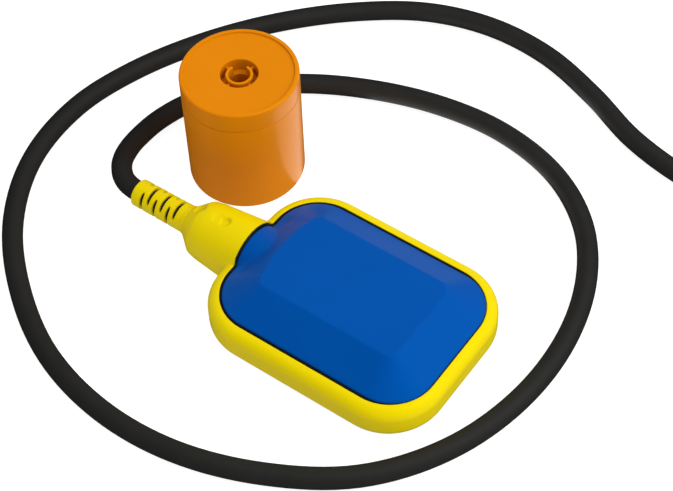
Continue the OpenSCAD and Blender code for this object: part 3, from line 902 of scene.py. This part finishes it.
def tie_corners(inner, outer, low, high, grown):
    """The corners of a tie's loop, grown outwards, each with its radius."""
    left, right, radius = inner - grown, outer + grown, TIE_R + grown
    bottom, top = low - grown, high + grown
    return [(left, bottom, radius), (right, bottom, radius), (right, top, radius), (left, top, radius)]


def flap_mesh(name, centre, turn, start, high):
    """The strap's end, which lies over itself on top of the coil."""
    points = []
    for level, tuck in ((high + TIE_T, 0), (high + 2 * TIE_T, 0.3)):
        for k in range(FLAP_STOPS):
            x = start + FLAP_L * k / (FLAP_STOPS - 1)
            drop = TIE_T * 0.7 * smooth_step((x - start - FLAP_L + 3) / 3) if tuck else 0
            reach = TIE_HALF_W - 0.4 - tuck
            for across in (-reach, reach):
                points.append(tie_point(centre, turn, Vector((x, level - drop)), across))
    over = 2 * FLAP_STOPS
    faces = []
    for k in range(FLAP_STOPS - 1):
        a, b = 2 * k, 2 * k + 2
        for layer in (0, over):
            faces.append((layer + a, layer + a + 1, layer + b + 1, layer + b))
        for side in (0, 1):
            faces.append((a + side, b + side, over + b + side, over + a + side))
    faces += [(0, 1, over + 1, over), (over - 2, over - 1, 2 * over - 1, 2 * over - 2)]
    return make_mesh(name, points, faces)


def make_ferrule(node):
    low, high = box_mm(node)
    x, z = (low.x + high.x) / 2, (low.z + high.z) / 2
    top = high.y

    def place(r, a, y):
        return x + r * math.cos(a), y, z + r * math.sin(a)

    line = rounded([
        (0, top, 0), (1.44, top, 0.2), (1.3, top - 1.1, 0.3), (0.98, top - 1.6, 0.3),
        (0.98, low.y, 0.25), (0, low.y, 0),
    ], closed=False, step=20)
    mesh = turned(node, line, place, 32, closed=False)
    return add_piece(node + "_tip", mesh, "cable", "tinned_copper", [node])


# ---- Materials, by slot ----
MATERIALS = {}


def paint(
    name, color, roughness, grain, grain_size=0.4, mottle=0.08, metal=0.0, shine=(1, 1, 1), gloss=0.5,
):
    """A surface whose colour and roughness vary a little, with a fine grain of grain_size."""
    material = bpy.data.materials.new(name)
    MATERIALS[name] = material
    material.use_nodes = True
    nodes, links = material.node_tree.nodes, material.node_tree.links
    shader = nodes["Principled BSDF"]
    shader.inputs["Metallic"].default_value = metal
    shader.inputs["Specular Tint"].default_value = (*shine, 1)
    shader.inputs["Specular IOR Level"].default_value = gloss
    place = nodes.new("ShaderNodeTexCoord")
    cloud = nodes.new("ShaderNodeTexNoise")
    cloud.inputs["Scale"].default_value = 45
    cloud.inputs["Detail"].default_value = 6
    links.new(place.outputs["Object"], cloud.inputs["Vector"])
    tint = nodes.new("ShaderNodeMix")
    tint.data_type = "RGBA"
    tint.inputs["A"].default_value = (*[c * (1 - mottle) for c in color], 1)
    tint.inputs["B"].default_value = (*[min(c * (1 + mottle), 1) for c in color], 1)
    links.new(cloud.outputs["Fac"], tint.inputs["Factor"])
    links.new(tint.outputs["Result"], shader.inputs["Base Color"])
    rough = nodes.new("ShaderNodeMapRange")
    rough.inputs["To Min"].default_value = roughness * 0.85
    rough.inputs["To Max"].default_value = roughness * 1.15
    links.new(cloud.outputs["Fac"], rough.inputs["Value"])
    links.new(rough.outputs["Result"], shader.inputs["Roughness"])
    fine = nodes.new("ShaderNodeTexNoise")
    fine.inputs["Scale"].default_value = 1 / (grain_size * MM)
    fine.inputs["Detail"].default_value = 3
    links.new(place.outputs["Object"], fine.inputs["Vector"])
    bump = nodes.new("ShaderNodeBump")
    bump.inputs["Strength"].default_value = 1
    bump.inputs["Distance"].default_value = grain * MM
    links.new(fine.outputs["Fac"], bump.inputs["Height"])
    links.new(bump.outputs["Normal"], shader.inputs["Normal"])


def make_materials():
    paint("blue_plastic", (0.0, 0.063, 0.31), 0.45, 0.006, 0.5, 0.05, shine=(0.01, 0.3, 0.7), gloss=0.3)
    paint("yellow_plastic", (0.7, 0.55, 0.0), 0.42, 0.008, 0.5, 0.03, shine=(1.0, 0.85, 0.05))
    paint("orange_plastic", (0.62, 0.19, 0.0), 0.3, 0.006, 0.6, 0.04, shine=(1.0, 0.5, 0.08))
    paint("black_rubber", (0.014, 0.014, 0.013), 0.62, 0.012, 0.35, 0.15, shine=(0.8, 0.8, 0.8))
    paint("seal_rubber", (0.004, 0.006, 0.005), 0.5, 0.004, mottle=0.1)
    paint("case_plastic", (0.70, 0.69, 0.62), 0.45, 0.006, 0.5, 0.03)
    paint("switch_plastic", (0.02, 0.02, 0.023), 0.5, 0.01, mottle=0.1)
    paint("button_plastic", (0.45, 0.015, 0.01), 0.35, 0.004, mottle=0.05)
    paint("potting_resin", (0.02, 0.017, 0.014), 0.15, 0.02, 2.0, 0.1)
    paint("ball_steel", (0.6, 0.6, 0.6), 0.08, 0.001, 0.5, 0.02, metal=1)
    paint("bright_steel", (0.55, 0.55, 0.53), 0.3, 0.004, 0.3, metal=1)
    paint("tinned_copper", (0.66, 0.64, 0.6), 0.3, 0.005, metal=1)
    paint("contact_brass", (0.72, 0.5, 0.18), 0.28, 0.004, mottle=0.06, metal=1)
    paint("cast_iron", (0.09, 0.088, 0.085), 0.6, 0.06, 0.6, 0.2, metal=0.7)
    paint("core_brown", (0.11, 0.035, 0.012), 0.4, 0.004)
    paint("core_black", (0.012, 0.012, 0.012), 0.4, 0.004)
    paint("core_blue", (0.015, 0.09, 0.42), 0.4, 0.004)
    paint("tie_strap", (0.012, 0.012, 0.014), 0.9, 0.12, 0.5, 0.3)


def paint_cad_nodes():
    """Every CAD node takes the material of its slot."""
    for part in frame["record"]["subparts"]:
        node = frame["nodes"][part["node"]]
        node.data.materials.clear()
        node.data.materials.append(MATERIALS[part["material_slot"]])


# ---- Floor and light: metres, watts and degrees ----
LIT_MIDDLE = Vector((-0.03, 0.03, 0.01))
FLOOR_HALF = 3.0
FLOOR_DROP = 0.0002
LOW_LIGHT_AT = (-0.024, 0.1065, 0)
LOW_LIGHT_SIZE = (0.088, 0.107)


def make_floor():
    mesh = bpy.data.meshes.new("floor")
    half = FLOOR_HALF
    corners = [(-half, -half, 0), (half, -half, 0), (half, half, 0), (-half, half, 0)]
    mesh.from_pydata(corners, [], [(0, 1, 2, 3)])
    floor = bpy.data.objects.new("floor", mesh)
    floor.location.z = -FLOOR_DROP
    white = bpy.data.materials.new("floor_white")
    white.use_nodes = True
    shader = white.node_tree.nodes["Principled BSDF"]
    shader.inputs["Base Color"].default_value = (0.3, 0.3, 0.3, 1)
    shader.inputs["Roughness"].default_value = 0.9
    shader.inputs["Emission Color"].default_value = (1, 1, 1, 1)
    shader.inputs["Emission Strength"].default_value = 0.9
    mesh.materials.append(white)
    floor.visible_glossy = False
    bpy.context.scene.collection.objects.link(floor)


def make_low_light():
    """A soft light lying beside the counterweight, which shows only as a gloss on its side."""
    data = bpy.data.lights.new("low_light", "AREA")
    data.shape = "RECTANGLE"
    data.size, data.size_y = LOW_LIGHT_SIZE
    data.energy = 0.034
    lamp = bpy.data.objects.new("low_light", data)
    lamp.location = LOW_LIGHT_AT
    lamp.rotation_euler = (math.pi, 0, 0)
    lamp.visible_camera = False
    lamp.visible_diffuse = False
    bpy.context.scene.collection.objects.link(lamp)


def make_softbox(name, heading, height, distance, size, power, glossy=True):
    """A square soft light at a heading and a height, in degrees, that faces the object."""
    data = bpy.data.lights.new(name, "AREA")
    data.shape = "SQUARE"
    data.size = size
    data.energy = power
    lamp = bpy.data.objects.new(name, data)
    turn, rise = math.radians(heading), math.radians(height)
    way = Vector((math.cos(turn) * math.cos(rise), math.sin(turn) * math.cos(rise), math.sin(rise)))
    lamp.location = LIT_MIDDLE + way * distance
    lamp.rotation_mode = "QUATERNION"
    lamp.rotation_quaternion = way.to_track_quat("Z", "Y")
    lamp.visible_glossy = glossy
    bpy.context.scene.collection.objects.link(lamp)


def make_light():
    bpy.context.scene.view_settings.view_transform = "Standard"
    world = bpy.data.worlds.new("studio")
    world.use_nodes = True
    world.node_tree.nodes["Background"].inputs["Color"].default_value = (1, 1, 1, 1)
    world.node_tree.nodes["Background"].inputs["Strength"].default_value = 0.72
    world.cycles_visibility.glossy = False
    bpy.context.scene.world = world
    make_softbox("overhead", 80, 72, 1.4, 1.6, 9, glossy=False)
    make_softbox("key", 28, 32, 1.2, 0.7, 5, glossy=False)
    make_softbox("right_light", 10, 55, 1.1, 0.45, 2.5)
    make_low_light()


# ---- The scene ----
make_camera()
make_materials()
cable = make_cable()
cores = make_cores()
paint_cad_nodes()
make_frame_ring()
make_covers()
make_seals()
make_relief()
make_cable_entry()
make_weight()
make_retaining_ring()
ties = make_tie("coil_tie_a", math.radians(135)) + make_tie("coil_tie_b", math.radians(315))
ferrules = [make_ferrule("ferrule_" + color) for color in ("black", "blue", "brown")]
make_floor()
make_light()
